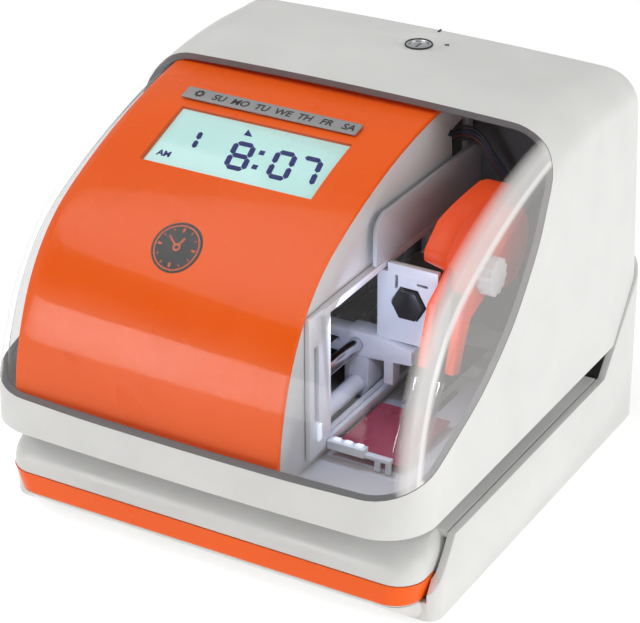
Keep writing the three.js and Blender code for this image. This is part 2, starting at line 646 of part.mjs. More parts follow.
// The cassette is a lobed housing with a thin arm on each side of the print position.
function ribbonUnit() {
  const lobe = new THREE.Shape();
  lobe.moveTo(43.6, 104.6);
  lobe.quadraticCurveTo(42, 107.6, 44, 109.4);
  lobe.lineTo(52, 115.2);
  lobe.quadraticCurveTo(62, 117.6, 82, 117.4);
  lobe.quadraticCurveTo(96, 115, 98, 104);
  lobe.quadraticCurveTo(99, 92, 90, 86);
  lobe.lineTo(66, 84.5);
  lobe.lineTo(58, 94.6);
  lobe.closePath();
  const arm = [
    [39.4, 68], [43.1, 80.2], [46.2, 88.2], [52.8, 91.6], [57.6, 95.4], [68, 92], [60, 86.4], [51.6, 83.4],
    [48.4, 77], [44.4, 66.6],
  ];
  const shell = cut(
    join(
      prism('x', lobe, CASSETTE.x0, CASSETTE.x0 + 8.2, 5),
      rod('x', 80, 97, 14, CASSETTE.x0 + 8, CASSETTE.x1, 28),
      rod('x', CASSETTE.knobY, CASSETTE.knobZ, 8.6, CASSETTE.x0 + 6, CASSETTE.x1, 24),
      prism('x', arm, CASSETTE.x0, CASSETTE.x0 + 3),
      prism('x', arm, CASSETTE.x1 - 3, CASSETTE.x1),
    ),
    rod('x', CASSETTE.knobY, CASSETTE.knobZ, 2.5 + BORE_CLEARANCE, 50, 75),
  );
  place('ribbon_cassette', shell, ORANGE);
  const grip = Array.from({ length: 12 }, (_, i) => {
    const turn = (i * Math.PI) / 6;
    const [y, z] = [CASSETTE.knobY + 6.6 * Math.cos(turn), CASSETTE.knobZ + 6.6 * Math.sin(turn)];
    return rod('x', y, z, 0.9, CASSETTE.x1, 74, 8);
  });
  const knob = join(
    rod('x', CASSETTE.knobY, CASSETTE.knobZ, 2.5, 55.6, 69),
    cut(rod('x', CASSETTE.knobY, CASSETTE.knobZ, 6.6, CASSETTE.x1 + 0.5, 73, 24), ...grip),
  );
  place('ribbon_knob', knob, WHITE);
  const guide = [[34.6, 67.6], [38.6, 65.4], [23.5, 45.3], [18.8, 45.3]];
  place('ribbon_guide_left', prism('x', guide, 56, 57.4), CLEAR);
  place('ribbon_guide_right', prism('x', guide, 64.6, 66), CLEAR);
  place('ribbon_mask', box(34.9, 61, 18.4, 52, 42.2, 43), RED);
  place('ink_ribbon', box(42.4, 51, 52.4, 100, 44.2, 44.5), DARK);
}

function paperLever() {
  const pivotY = 96;
  const pivotZ = 44.5;
  const ears = [61, 66.2].map((x) => box(x - 0.4, x + 1.2, pivotY - 4, pivotY + 4, STAND_Z, pivotZ + 3));
  const tie = box(60.6, 67.4, pivotY + 6, pivotY + 8, STAND_Z, pivotZ + 3);
  const rails = [61, 66.2].map((x) => box(x - 0.4, x + 1.2, pivotY + 3, pivotY + 8, STAND_Z, pivotZ + 3));
  const bracket = join(...ears, ...rails, tie);
  place('lever_bracket', join(bracket, rod('x', pivotY, pivotZ, 1.2, 61, 67, 16)), WHITE);
  const lever = cut(
    join(
      box(62.6, 65.4, pivotY - 1.2, pivotY + 1.2, 29.2, pivotZ),
      rod('x', pivotY, pivotZ, 2.6, 62.6, 65.4, 16),
    ),
    rod('x', pivotY, pivotZ, 1.2 + BORE_CLEARANCE, 50, 75, 16),
  );
  place('paper_lever', lever, DARK);
}

function electronics() {
  place('platen', box(PLATEN.x0, PLATEN.x1, PLATEN.y0, PLATEN.y1, 23.7, TABLE_Z - 0.1), RUBBER);
  place('main_board', box(-63, 5, 12, 86, 46, 47.6), BOARD);
  place('power_supply', box(-63, -27, 89, 114, 41, 70), STEEL);
  place('backup_battery', rod('z', -20, 30, 8, 47.9, 53, 24), STEEL);
  const pins = [-51.5, -44.5].map((x) => rod('y', 14, x, 1.2, INLET_Y + 3, INLET_Y + 11, 12));
  const inlet = join(
    cut(
      box(-57.7, -38.3, INLET_Y, REAR_Y - GAP, 8.3, 19.7),
      box(-55.5, -40.5, INLET_Y + 4, REAR_Y, 10.2, 17.8),
    ),
    ...pins,
  );
  place('power_inlet', inlet, DARK);
}

// ---- cover ----------------------------------------------------------------------------------
function cover() {
  const skinSolid = coverSolid(0, THROAT_TOP_Z);
  const region = (shrink) => prism('x', windowRegion(shrink), -100, 100);
  let shell = cut(
    skinSolid,
    coverSolid(COVER_WALL, 20),
    region(0),
    prism('x', belowSeam(GAP), -100, 100),
  );
  hingeSides.forEach((side) => {
    coverKnuckles.forEach((span) => {
      shell = join(shell, hingeRod(KNUCKLE_RADIUS, ...mirrored(side, span)));
    });
    shell = cut(
      shell,
      hingeRod(KNUCKLE_RADIUS + 0.4, ...mirrored(side, baseKnuckle, 0.4)),
      hingeRod(1.58, ...mirrored(side, [30, 60])),
    );
    const name = side < 0 ? 'left' : 'right';
    place(`hinge_pin_${name}`, hingeRod(1.5, ...mirrored(side, [34.2, 55.8])), STEEL);
  });
  const dish = new THREE.CylinderGeometry(9.6, 4.8, 2, 32).rotateX(Math.PI / 2);
  dish.translate(LOCK_X, LOCK_Y, 139);
  shell = cut(shell, solid(dish), rod('z', LOCK_X, LOCK_Y, 4.9, 130, 145, 28));
  place('cover_shell', shell, WHITE);
  const pane = cut(skinSolid, coverSolid(WINDOW_WALL, 20)).intersect(region(GAP));
  place('window_pane', pane, CLEAR);
}

function coverLock() {
  const barrel = cut(
    rod('z', LOCK_X, LOCK_Y, 4.6, 127, 138.1, 28),
    rod('z', LOCK_X, LOCK_Y, 3.5 + BORE_CLEARANCE, 120, 145, 28),
  );
  place('lock_barrel', barrel, STEEL);
  const nut = prism('z', hexagon(LOCK_Y, LOCK_X, 7.4), 131.6, 135);
  place('lock_nut', cut(nut, rod('z', LOCK_X, LOCK_Y, 4.9, 120, 145, 28)), STEEL);
  const slot = box(LOCK_X - 0.5, LOCK_X + 0.5, LOCK_Y - 2.4, LOCK_Y + 2.4, 135.4, 140);
  const cam = join(
    rod('z', LOCK_X, LOCK_Y, 4, 122, 124.1),
    prism('z', [[0, -4], [15, -3], [15, 3], [0, 4]].map(([x, y]) => [LOCK_X + x, LOCK_Y + y]), 122, 124.1),
  );
  place('lock_plug', join(cut(rod('z', LOCK_X, LOCK_Y, 3.5, 124, 137.8, 28), slot), cam), STEEL);
}

baseShell();
feetAndScrews();
paperTable();
place('trim_band', bandSolid(0), ORANGE);
throatBlock();
deckPlate();
sideFrames();
rearFrame();
windowFrame();
fascia();
buttonPanel();
guideShafts();
carriage();
beltDrive();
ribbonUnit();
paperLever();
electronics();
cover();
coverLock();

export default machine;
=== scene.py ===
"""Looks of a desk time recorder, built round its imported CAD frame.

Profiles are in millimetres in the machine's own frame: +X right, +Y back and +Z up from the front
bottom edge of the base. at() turns them into the row frame's metres.
"""
import math

import bmesh
import bpy
from mathutils import Matrix, Vector


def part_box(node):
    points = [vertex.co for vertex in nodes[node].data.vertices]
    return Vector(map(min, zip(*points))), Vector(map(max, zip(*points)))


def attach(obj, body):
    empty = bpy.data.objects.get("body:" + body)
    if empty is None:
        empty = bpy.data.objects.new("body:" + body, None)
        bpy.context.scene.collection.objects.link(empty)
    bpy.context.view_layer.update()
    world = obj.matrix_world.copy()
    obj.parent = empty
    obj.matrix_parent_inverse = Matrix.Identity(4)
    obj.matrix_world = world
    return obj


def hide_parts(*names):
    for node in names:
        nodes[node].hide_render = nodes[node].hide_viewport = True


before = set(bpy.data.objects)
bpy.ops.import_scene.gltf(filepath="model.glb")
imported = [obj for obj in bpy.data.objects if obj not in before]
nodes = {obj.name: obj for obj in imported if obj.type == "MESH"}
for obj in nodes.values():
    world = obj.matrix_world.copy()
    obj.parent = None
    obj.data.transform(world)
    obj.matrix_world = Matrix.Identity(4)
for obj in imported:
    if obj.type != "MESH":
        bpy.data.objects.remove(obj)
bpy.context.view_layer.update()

MM = 0.001
REAR_REACH = 164.8
FRONT_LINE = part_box("base_shell")[1].y - REAR_REACH * MM
BASE_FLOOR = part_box("base_shell")[0].z

# The driving sizes of the outer form, as the CAD source has them.
COVER_HALF = 82.6
COVER_WALL = 2.4
COVER_DRAFT = math.tan(math.radians(2))
CROWN_BOW = 1
LIP_Y = -18
LIP_TOP_Z = 50
THROAT_TOP_Z = 37
TABLE_Z = 27.3
REAR_Y = 161
REAR_TOP_RADIUS = 15
REAR_TOP_Z = 138.2
REAR_CORNER_RADIUS = 8
ROUND_FRONT, ROUND_TOP, ROUND_SWELL = 19, 14, 4.5
WINDOW_TOP_Y = 90
WINDOW_WALL = 2.2
SEAM_FRONT_Y = 129
SEAM_TOP_Z = 64
HINGE_Y = 161.6
HINGE_Z = 63.6
KNUCKLE_RADIUS = 3.2
LOCK = (4.1, 134)
FASCIA_X = (-69.2, 33)
FASCIA_DEPTH = 4.6
FASCIA_WALL = 2
FASCIA_FLOOR_Z = 45
NOSE_HALF = 79.4
NOSE_REAR = 24
NOSE_CORNER = 10
GAP = 0.3


def at(x, y, z):
    return Vector((x * MM, y * MM + FRONT_LINE, z * MM + BASE_FLOOR))


# ---- shader building ------------------------------------------------------------------------
def new_material(name):
    material = bpy.data.materials.new(name)
    material.use_nodes = True
    tree = material.node_tree
    tree.nodes.clear()
    return material, tree


def link_noise(tree, scale, detail=3.0, stretch=(1, 1, 1)):
    """Noise in the object's own coordinates, with scale in features per metre."""
    coords = tree.nodes.new("ShaderNodeTexCoord")
    mapping = tree.nodes.new("ShaderNodeMapping")
    mapping.inputs["Scale"].default_value = stretch
    noise = tree.nodes.new("ShaderNodeTexNoise")
    noise.inputs["Scale"].default_value = scale
    noise.inputs["Detail"].default_value = detail
    tree.links.new(coords.outputs["Object"], mapping.inputs["Vector"])
    tree.links.new(mapping.outputs["Vector"], noise.inputs["Vector"])
    return noise


def ranged(tree, source, low, high, from_low=0.3, from_high=0.7):
    node = tree.nodes.new("ShaderNodeMapRange")
    node.inputs["From Min"].default_value = from_low
    node.inputs["From Max"].default_value = from_high
    node.inputs["To Min"].default_value = low
    node.inputs["To Max"].default_value = high
    tree.links.new(source, node.inputs["Value"])
    return node.outputs["Result"]


def mixed(tree, factor, first, second):
    node = tree.nodes.new("ShaderNodeMix")
    node.data_type = "RGBA"
    node.inputs["A"].default_value = (*first, 1)
    node.inputs["B"].default_value = (*second, 1)
    tree.links.new(factor, node.inputs["Factor"])
    return node.outputs["Result"]


def shade(colour, amount):
    return tuple(max(0.0, min(1.0, c * (1 + amount))) for c in colour)


def surface(
    name,
    colour,
    roughness,
    metallic=0.0,
    coat=0.0,
    variation=0.04,
    rough_spread=0.06,
    grain=900.0,
    grain_depth=0.012,
    stretch=(1, 1, 1),
    edge_radius=0.35,
    edge_highlight=0.06,
    emission=None,
    subsurface=0.0,
    specular=0.5,
):
    """A moulded, rolled or coated surface: tone drift, roughness drift, fine grain, soft edges and a painted
    highlight along them.
    """
    material, tree = new_material(name)
    output = tree.nodes.new("ShaderNodeOutputMaterial")
    shader = tree.nodes.new("ShaderNodeBsdfPrincipled")
    shader.inputs["Metallic"].default_value = metallic
    shader.inputs["Specular IOR Level"].default_value = specular
    shader.inputs["Coat Weight"].default_value = coat
    shader.inputs["Coat Roughness"].default_value = 0.08
    shader.inputs["Subsurface Weight"].default_value = subsurface
    shader.inputs["Subsurface Scale"].default_value = 0.002
    drift = link_noise(tree, 38.0, 4.0)
    fine = link_noise(tree, grain, 2.0, stretch)
    bevel = tree.nodes.new("ShaderNodeBevel")
    bevel.samples = 4
    bevel.inputs["Radius"].default_value = edge_radius * MM
    geometry = tree.nodes.new("ShaderNodeNewGeometry")
    dot = tree.nodes.new("ShaderNodeVectorMath")
    dot.operation = "DOT_PRODUCT"
    tree.links.new(bevel.outputs["Normal"], dot.inputs[0])
    tree.links.new(geometry.outputs["Normal"], dot.inputs[1])
    # Painted highlight: the colour is mixed towards a lighter tone where the rounded bevel normal leans off
    # the face, along every edge.
    edge = ranged(tree, dot.outputs["Value"], 1.0, 0.0, 0.9, 0.995)
    tone = mixed(
        tree,
        ranged(tree, drift.outputs["Fac"], 0, 1),
        shade(colour, -variation),
        shade(colour, variation),
    )
    highlighted = tree.nodes.new("ShaderNodeMix")
    highlighted.data_type = "RGBA"
    highlighted.inputs["B"].default_value = (*shade(colour, edge_highlight + variation), 1)
    tree.links.new(edge, highlighted.inputs["Factor"])
    tree.links.new(tone, highlighted.inputs["A"])
    tree.links.new(highlighted.outputs["Result"], shader.inputs["Base Color"])
    rough = ranged(
        tree, drift.outputs["Fac"], max(roughness - rough_spread, 0.02), roughness + rough_spread
    )
    tree.links.new(rough, shader.inputs["Roughness"])
    bump = tree.nodes.new("ShaderNodeBump")
    bump.inputs["Strength"].default_value = 0.35
    bump.inputs["Distance"].default_value = grain_depth * MM
    tree.links.new(fine.outputs["Fac"], bump.inputs["Height"])
    tree.links.new(bevel.outputs["Normal"], bump.inputs["Normal"])
    tree.links.new(bump.outputs["Normal"], shader.inputs["Normal"])
    if emission:
        shader.inputs["Emission Color"].default_value = (*emission[0], 1)
        shader.inputs["Emission Strength"].default_value = emission[1]
    tree.links.new(shader.outputs["BSDF"], output.inputs["Surface"])
    return material


# Tint of the sheets' mirrored reflections; on the clear cover it is also the colour of the painted reflection
# on the roundings.
REFLECTION_TINT = (0.88, 0.86, 0.84)


def see_through(name, tint, share, roughness=0.03, edge_share=0.35, bend=(), body=None):
    """A thin clear or tinted sheet: what is behind shows unbent, under a reflection that grows at grazing.

    bend gives (sideways lean of the surface, share) stops of a painted reflection on the sheet's roundings, a
    pale fog with a bright line that stands for reflections;
    body is the colour of a milky sheet, whose share then scatters light instead of mirroring it.
    """
    material, tree = new_material(name)
    output = tree.nodes.new("ShaderNodeOutputMaterial")
    clear = tree.nodes.new("ShaderNodeBsdfTransparent")
    clear.inputs["Color"].default_value = (*tint, 1)
    gloss = tree.nodes.new("ShaderNodeBsdfPrincipled")
    gloss.inputs["Base Color"].default_value = (*(body or REFLECTION_TINT), 1)
    smear = link_noise(tree, 60.0, 5.0)
    tree.links.new(
        ranged(tree, smear.outputs["Fac"], roughness, roughness + 0.05), gloss.inputs["Roughness"]
    )
    weight = tree.nodes.new("ShaderNodeLayerWeight")
    weight.inputs["Blend"].default_value = 0.28
    factor = ranged(tree, weight.outputs["Facing"], share, share + edge_share, 0.45, 1.0)
    # Painted reflection: on the roundings the mirror gloss gives way to a pale lit fog that stands for
    # reflections.
    if bend:
        painted_reflection = painted_reflection_share(tree, bend)
        most = tree.nodes.new("ShaderNodeMath")
        most.operation = "MAXIMUM"
        tree.links.new(factor, most.inputs[0])
        tree.links.new(painted_reflection, most.inputs[1])
        factor = most.outputs["Value"]
        tree.links.new(ranged(tree, painted_reflection, 1.0, 0.0, 0.02, 0.12), gloss.inputs["Metallic"])
    else:
        gloss.inputs["Metallic"].default_value = 0.0 if body else 1.0
    mix = tree.nodes.new("ShaderNodeMixShader")
    tree.links.new(factor, mix.inputs["Fac"])
    tree.links.new(clear.outputs["BSDF"], mix.inputs[1])
    tree.links.new(gloss.outputs["BSDF"], mix.inputs[2])
    tree.links.new(mix.outputs["Shader"], output.inputs["Surface"])
    return material


def painted_reflection_share(tree, stops):
    """Share of painted reflection by how far the outer face leans sideways: a pale fog that stands for the
    reflections on the roundings.
    """
    geometry = tree.nodes.new("ShaderNodeNewGeometry")
    split = tree.nodes.new("ShaderNodeSeparateXYZ")
    tree.links.new(geometry.outputs["Normal"], split.inputs["Vector"])
    lean = tree.nodes.new("ShaderNodeMath")
    lean.operation = "ABSOLUTE"
    tree.links.new(split.outputs["X"], lean.inputs[0])
    ramp = tree.nodes.new("ShaderNodeValToRGB")
    elements = ramp.color_ramp.elements
    while len(elements) < len(stops):
        elements.new(0.5)
    for element, (position, share) in zip(elements, stops):
        element.position = position
        element.color = (share, share, share, 1)
    tree.links.new(lean.outputs["Value"], ramp.inputs["Fac"])
    outer = ranged(tree, geometry.outputs["Backfacing"], 1.0, 0.0, 0.0, 1.0)
    shown = tree.nodes.new("ShaderNodeMath")
    shown.operation = "MULTIPLY"
    tree.links.new(ramp.outputs["Color"], shown.inputs[0])
    tree.links.new(outer, shown.inputs[1])
    return shown.outputs["Value"]


WHITE = surface("shell_white", (0.74, 0.74, 0.72), 0.36, grain=1400, grain_depth=0.02, subsurface=0.05)
FRAME = surface("frame_grey", (0.66, 0.67, 0.68), 0.4, grain=1200, grain_depth=0.02)
LINER = surface("inner_white", (0.76, 0.78, 0.82), 0.38, grain=1200)
ORANGE = surface(
    "panel_orange", (1.0, 0.125, 0.007), 0.3, grain=600, grain_depth=0.006, edge_highlight=0.3, specular=0.2
)
CASSETTE = surface("cassette_orange", (0.95, 0.085, 0.010), 0.36, specular=0.3, grain=1100, grain_depth=0.02)
BLACK = surface("satin_black", (0.012, 0.012, 0.014), 0.38, edge_highlight=1.2)
RUBBER = surface("rubber_black", (0.02, 0.02, 0.02), 0.75, grain=1800, grain_depth=0.04)
STEEL = surface(
    "ground_steel", (0.62, 0.63, 0.65), 0.2, metallic=1.0, grain=2500, stretch=(1, 0.03, 1), grain_depth=0.004
)
SHADE = surface("painted_sheet", (0.07, 0.07, 0.075), 0.5, edge_highlight=0.6, grain=900)
ZINC = surface("zinc_sheet", (0.50, 0.51, 0.53), 0.36, metallic=1.0, variation=0.12, grain=300)
FINS = surface("fin_aluminium", (0.66, 0.67, 0.69), 0.3, metallic=1.0, grain=1500, stretch=(0.05, 1, 1))
BOARD = surface("solder_mask", (0.015, 0.13, 0.045), 0.3, coat=0.4, variation=0.12)
RED_WIRE = surface("wire_red", (0.10, 0.01, 0.01), 0.4)
BLUE_WIRE = surface("wire_blue", (0.01, 0.02, 0.08), 0.4)
CLOTH = surface("inked_ribbon", (0.012, 0.012, 0.05), 0.85, grain=4000, grain_depth=0.05)
PRINT = surface("black_print", (0.02, 0.02, 0.022), 0.5, edge_radius=0.05)
STRIP = surface("strip_grey", (0.33, 0.33, 0.33), 0.32, grain=500, stretch=(0.05, 1, 1))
NAVY = surface("crystal_navy", (0.012, 0.018, 0.20), 0.3, edge_radius=0.05)
AQUA = surface(
    "crystal_aqua", (0.50, 0.80, 0.77), 0.25, coat=0.5, grain=3000, emission=((0.60, 0.93, 0.88), 0.30)
)
EMBLEM_INK = surface("emblem_orange", (0.62, 0.10, 0.015), 0.35, edge_radius=0.05)
LAMP = surface("lamp_lens", (0.9, 0.93, 1.0), 0.2, emission=((0.75, 0.82, 1.0), 0.45))
# Painted reflection on the clear cover: shares of pale fog by the outer face's sideways lean, with a bright
# line near 0.87, standing for reflections on the window's roundings.
PAINTED_REFLECTION_STOPS = (
    (0.0, 0.0), (0.56, 0.01), (0.68, 0.55), (0.76, 0.74), (0.845, 0.70), (0.865, 0.97), (0.89, 0.90),
    (0.915, 0.36), (0.97, 0.29), (1.0, 0.29),
)
CLEAR = see_through("clear_polycarbonate", (0.99, 0.99, 0.99), 0.007, edge_share=0.3, bend=PAINTED_REFLECTION_STOPS)
GUIDE = see_through("clear_guide", (0.90, 0.92, 0.97), 0.10)
RIM = see_through("polycarbonate_edge", (0.96, 0.96, 0.96), 0.05, roughness=0.2, body=(0.42, 0.43, 0.45))
LENS = see_through("display_lens", (1.0, 1.0, 1.0), 0.015, edge_share=0.2)
SMOKE = see_through("smoked_polycarbonate", (0.66, 0.66, 0.70), 0.66, roughness=0.3, body=(0.72, 0.76, 0.80))
RED_FILM = see_through("red_film", (0.70, 0.16, 0.20), 0.66, roughness=0.25, body=(0.60, 0.11, 0.17))
# Painted shade: the cover's cut faces round the window gap are dark grey to stand for the shadow in the gap.
SEAM_SHADE = surface("seam_shadow", (0.16, 0.16, 0.165), 0.5, edge_highlight=0.0)


# ---- mesh building --------------------------------------------------------------------------
def finish_mesh(mesh, sharp=math.radians(32)):
    for polygon in mesh.polygons:
        polygon.use_smooth = True
    mesh.set_sharp_from_angle(angle=sharp)


def make_object(name, verts, faces, material):
    mesh = bpy.data.meshes.new(name)
    mesh.from_pydata([at(*v) for v in verts], [], faces)
    mesh.validate()
    work = bmesh.new()
    work.from_mesh(mesh)
    bmesh.ops.remove_doubles(work, verts=work.verts, dist=1e-7)
    bmesh.ops.recalc_face_normals(work, faces=work.faces)
    work.to_mesh(mesh)
    work.free()
    mesh.materials.append(material)
    finish_mesh(mesh)
    obj = bpy.data.objects.new(name, mesh)
    bpy.context.scene.collection.objects.link(obj)
    return obj


def combine(obj, tool, operation):
    """obj joined with, cut by or clipped to tool, which is used up. The tool's faces keep its look."""
    modifier = obj.modifiers.new("combine", "BOOLEAN")
    modifier.operation = operation
    modifier.solver = "EXACT"
    modifier.material_mode = "TRANSFER"
    modifier.object = tool
    graph = bpy.context.evaluated_depsgraph_get()
    mesh = bpy.data.meshes.new_from_object(obj.evaluated_get(graph))
    obj.modifiers.clear()
    obj.data = mesh
    bpy.data.objects.remove(tool)
    finish_mesh(mesh)
    return obj


def cut(obj, *tools):
    for tool in tools:
        combine(obj, tool, "DIFFERENCE")
    return obj


def join(obj, *tools):
    for tool in tools:
        combine(obj, tool, "UNION")
    return obj


PLACE_ALONG = {
    "x": lambda u, v, w: (w, u, v),
    "y": lambda u, v, w: (u, w, v),
    "z": lambda u, v, w: (u, v, w),
}


def prism(name, axis, outline, low, high, material, rounding=0.0, steps=2):
    """An outline, (y, z) for x, (x, z) for y or (x, y) for z, run from low to high along axis."""
    place = PLACE_ALONG[axis]
    count = len(outline)
    verts = [place(u, v, w) for w in (low, high) for u, v in outline]
    faces = [tuple(range(count)), tuple(range(2 * count - 1, count - 1, -1))]
    faces += [(i, (i + 1) % count, count + (i + 1) % count, count + i) for i in range(count)]
    obj = make_object(name, verts, faces, material)
    if rounding:
        round_edges(obj, rounding, steps)
    return obj


def round_edges(obj, width, steps=2, angle=math.radians(35)):
    work = bmesh.new()
    work.from_mesh(obj.data)
    edges = [e for e in work.edges if len(e.link_faces) == 2 and e.calc_face_angle(0) > angle]
    bmesh.ops.bevel(
        work, geom=edges, offset=width * MM, segments=steps, profile=0.5, affect="EDGES", clamp_overlap=True
    )
    work.to_mesh(obj.data)
    work.free()
    finish_mesh(obj.data)


def block(name, x0, x1, y0, y1, z0, z1, material, rounding=0.0):
    return prism(name, "z", [(x0, y0), (x1, y0), (x1, y1), (x0, y1)], z0, z1, material, rounding)


def circle(u, v, radius, sides=48):
    turns = [2 * math.pi * i / sides for i in range(sides)]
    return [(u + radius * math.cos(a), v + radius * math.sin(a)) for a in turns]


def rod(name, axis, u, v, radius, low, high, material, sides=48, rounding=0.0):
    return prism(name, axis, circle(u, v, radius, sides), low, high, material, rounding)


def skin(name, rows, material):
    """A closed skin over rows of points, with an n-sided cap on each end."""
    count = len(rows[0])
    verts = [p for row in rows for p in row]
    faces = [
        (r * count + c, r * count + (c + 1) % count, (r + 1) * count + (c + 1) % count, (r + 1) * count + c)
        for r in range(len(rows) - 1)
        for c in range(count)
    ]
    faces += [tuple(range(count)), tuple(range((len(rows) - 1) * count, len(rows) * count))]
    return make_object(name, verts, faces, material)


def lathe(name, centre, profile, material, sides=64):
    """(radius, z) profile turned about a vertical axis; the first and last points lie on it."""
    turns = [2 * math.pi * i / sides for i in range(sides)]
    verts = [(centre[0] + r * math.cos(a), centre[1] + r * math.sin(a), z) for a in turns for r, z in profile]
    count = len(profile)
    faces = [
        (i * count + k, i * count + k + 1, (i + 1) % sides * count + k + 1, (i + 1) % sides * count + k)
        for i in range(sides)
        for k in range(count - 1)
    ]
    return make_object(name, verts, faces, material)


def merge(name, parts):
    """Several finished parts as one piece of separate shells."""
    work = bmesh.new()
    mesh = bpy.data.meshes.new(name)
    for part in parts:
        for material in part.data.materials:
            if material.name not in [m.name for m in mesh.materials]:
                mesh.materials.append(material)
        names = [m.name for m in mesh.materials]
        remap = [names.index(m.name) for m in part.data.materials]
        for polygon in part.data.polygons:
            polygon.material_index = remap[polygon.material_index]
        work.from_mesh(part.data)
        bpy.data.objects.remove(part)
    work.to_mesh(mesh)
    work.free()
    finish_mesh(mesh)
    obj = bpy.data.objects.new(name, mesh)
    bpy.context.scene.collection.objects.link(obj)
    return obj


def wire(name, points, radius, material):
    """A round strand on a smooth run through points."""
    curve = bpy.data.curves.new(name, "CURVE")
    curve.dimensions = "3D"
    curve.bevel_depth = radius * MM
    curve.bevel_resolution = 3
    curve.use_fill_caps = True
    run = curve.splines.new("BEZIER")
    run.bezier_points.add(len(points) - 1)
    for knot, point in zip(run.bezier_points, points):
        knot.co = at(*point)
        knot.handle_left_type = knot.handle_right_type = "AUTO"
    holder = bpy.data.objects.new(name + "_path", curve)
    bpy.context.scene.collection.objects.link(holder)
    graph = bpy.context.evaluated_depsgraph_get()
    mesh = bpy.data.meshes.new_from_object(holder.evaluated_get(graph))
    bpy.data.objects.remove(holder)
    mesh.materials.clear()
    mesh.materials.append(material)
    finish_mesh(mesh)
    obj = bpy.data.objects.new(name, mesh)
    bpy.context.scene.collection.objects.link(obj)
    return obj


def settle(piece, body, slot, *replaced):
    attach(piece, body)
    if replaced:
        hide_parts(*replaced)
    return piece


# ---- the crown of the cover -----------------------------------------------------------------
def bezier(p0, p1, p2, p3, count):
    for i in range(count):
        t = i / count
        s = 1 - t
        weights = (s**3, 3 * s * s * t, 3 * s * t * t, t**3)
        yield tuple(sum(w * c for w, c in zip(weights, column)) for column in zip(p0, p1, p2, p3))


BREAST = (19.6, 116.2)
CROWN_FRONT = ((LIP_Y, LIP_TOP_Z), (-17.5, 58.8), (-12.8, 98.9), BREAST)
CROWN_TOP = (BREAST, (41.8, 128), (80.3, 142.6), (131, 138.9))


def crown_points(count=48):
    """Points of the crown seen from the side, from the lip to the rear of the top."""
    half = count // 2
    points = list(bezier(*CROWN_FRONT, half)) + list(bezier(*CROWN_TOP, half))
    return points + [CROWN_TOP[-1]]


def with_normals(points):
    result = []
    for i, (y, z) in enumerate(points):
        before = points[max(i - 1, 0)]
        after = points[min(i + 1, len(points) - 1)]
        dy, dz = after[0] - before[0], after[1] - before[1]
        length = math.hypot(dy, dz)
        result.append((y, z, -dz / length, dy / length))
    return result


def run_lengths(points):
    """Length along a run of points up to each of them."""
    lengths = [0.0]
    for before, after in zip(points, points[1:]):
        lengths.append(lengths[-1] + math.hypot(after[0] - before[0], after[1] - before[1]))
    return lengths


def crown_inset(depth, count=48, last=None):
    points = [(y - ny * depth, z - nz * depth) for y, z, ny, nz in with_normals(crown_points(count))]
    return [p for p in points if last is None or p[0] <= last]


def cover_outline(floor_z):
    """(y, z, outward normal, side rounding) round the cover's outline."""
    rings = [(LIP_Y, floor_z, -1, 0, ROUND_FRONT)]
    crown = with_normals(crown_points())
    lengths = run_lengths(crown)
    for (y, z, ny, nz), length in zip(crown, lengths):
        t = length / lengths[-1]
        rounding = ROUND_FRONT + (ROUND_TOP - ROUND_FRONT) * t + ROUND_SWELL * math.sin(math.pi * t)
        rings.append((y, z, ny, nz, rounding))
    arc_steps = 12
    for i in range(arc_steps + 1):
        turn = i / arc_steps * math.pi / 2
        rings.append(
            (
                REAR_Y - REAR_TOP_RADIUS + REAR_TOP_RADIUS * math.sin(turn),
                REAR_TOP_Z - REAR_TOP_RADIUS + REAR_TOP_RADIUS * math.cos(turn),
                math.sin(turn),
                math.cos(turn),
                ROUND_TOP - (ROUND_TOP - REAR_CORNER_RADIUS) * i / arc_steps,
            )
        )
    rings.append((REAR_Y, floor_z, 1, 0, REAR_CORNER_RADIUS))
    return rings


def cover_solid(name, inset, floor_z, material):
    rings = cover_outline(floor_z)
    first, last = rings[0], rings[-1]
    flat = [(last[0] - last[4], floor_z, 1, 0, inset), (first[0] + first[4], floor_z, -1, 0, inset)]
    arc_steps, bow_steps = 9, 8
    turns = [i / arc_steps * math.pi / 2 for i in range(arc_steps + 1)]
    columns = [(-1, t) for t in turns]
    columns += [(-1 + 2 * i / bow_steps, None) for i in range(1, bow_steps)]
    columns += [(1, t) for t in reversed(turns)]
    rows = []
    for side, turn in columns:
        row = []
        for ring in rings + flat:
            y, z, ny, nz, r = ring
            level = ring in flat
            rounding = max(r - inset, 0)
            lift = math.sin(turn) if turn is not None else 1
            bow = 0 if level else CROWN_BOW * (side * side if turn is None else 1)
            drop = 0 if level else inset + rounding * (1 - lift) + bow * lift
            py, pz = y - ny * drop, z - nz * drop
            half = COVER_HALF - max(0, pz - THROAT_TOP_Z) * COVER_DRAFT - inset
            reach = half - rounding * (1 - math.cos(turn)) if turn is not None else half - rounding
            row.append((side * reach, py, pz))
        rows.append(row)
    return skin(name, rows, material)


def between(a, b, c, d, t):
    """Catmull-Rom value at share t of the way from b to c."""
    square = (2 * a - 5 * b + 4 * c - d) * t * t
    cube = (3 * b - a - 3 * c + d) * t**3
    return 0.5 * (2 * b + (c - a) * t + square + cube)


def spline(points, per_span=5):
    """A smooth run through points, each span sampled alike."""
    result = []
    for i in range(len(points) - 1):
        p0, p1 = points[max(i - 1, 0)], points[i]
        p2, p3 = points[i + 1], points[min(i + 2, len(points) - 1)]
        for k in range(per_span):
            t = k / per_span
            result.append(tuple(between(*column, t) for column in zip(p0, p1, p2, p3)))
    return result + [points[-1]]


WINDOW_EDGE = (
    (LIP_Y + 1, LIP_TOP_Z + 0.6), (-6, 54.2), (8, 58.7), (31, 67.2), (47.5, 76.6), (60, 86.4), (74, 102),
    (82, 116), (WINDOW_TOP_Y - 1, 129), (WINDOW_TOP_Y, 134),
)


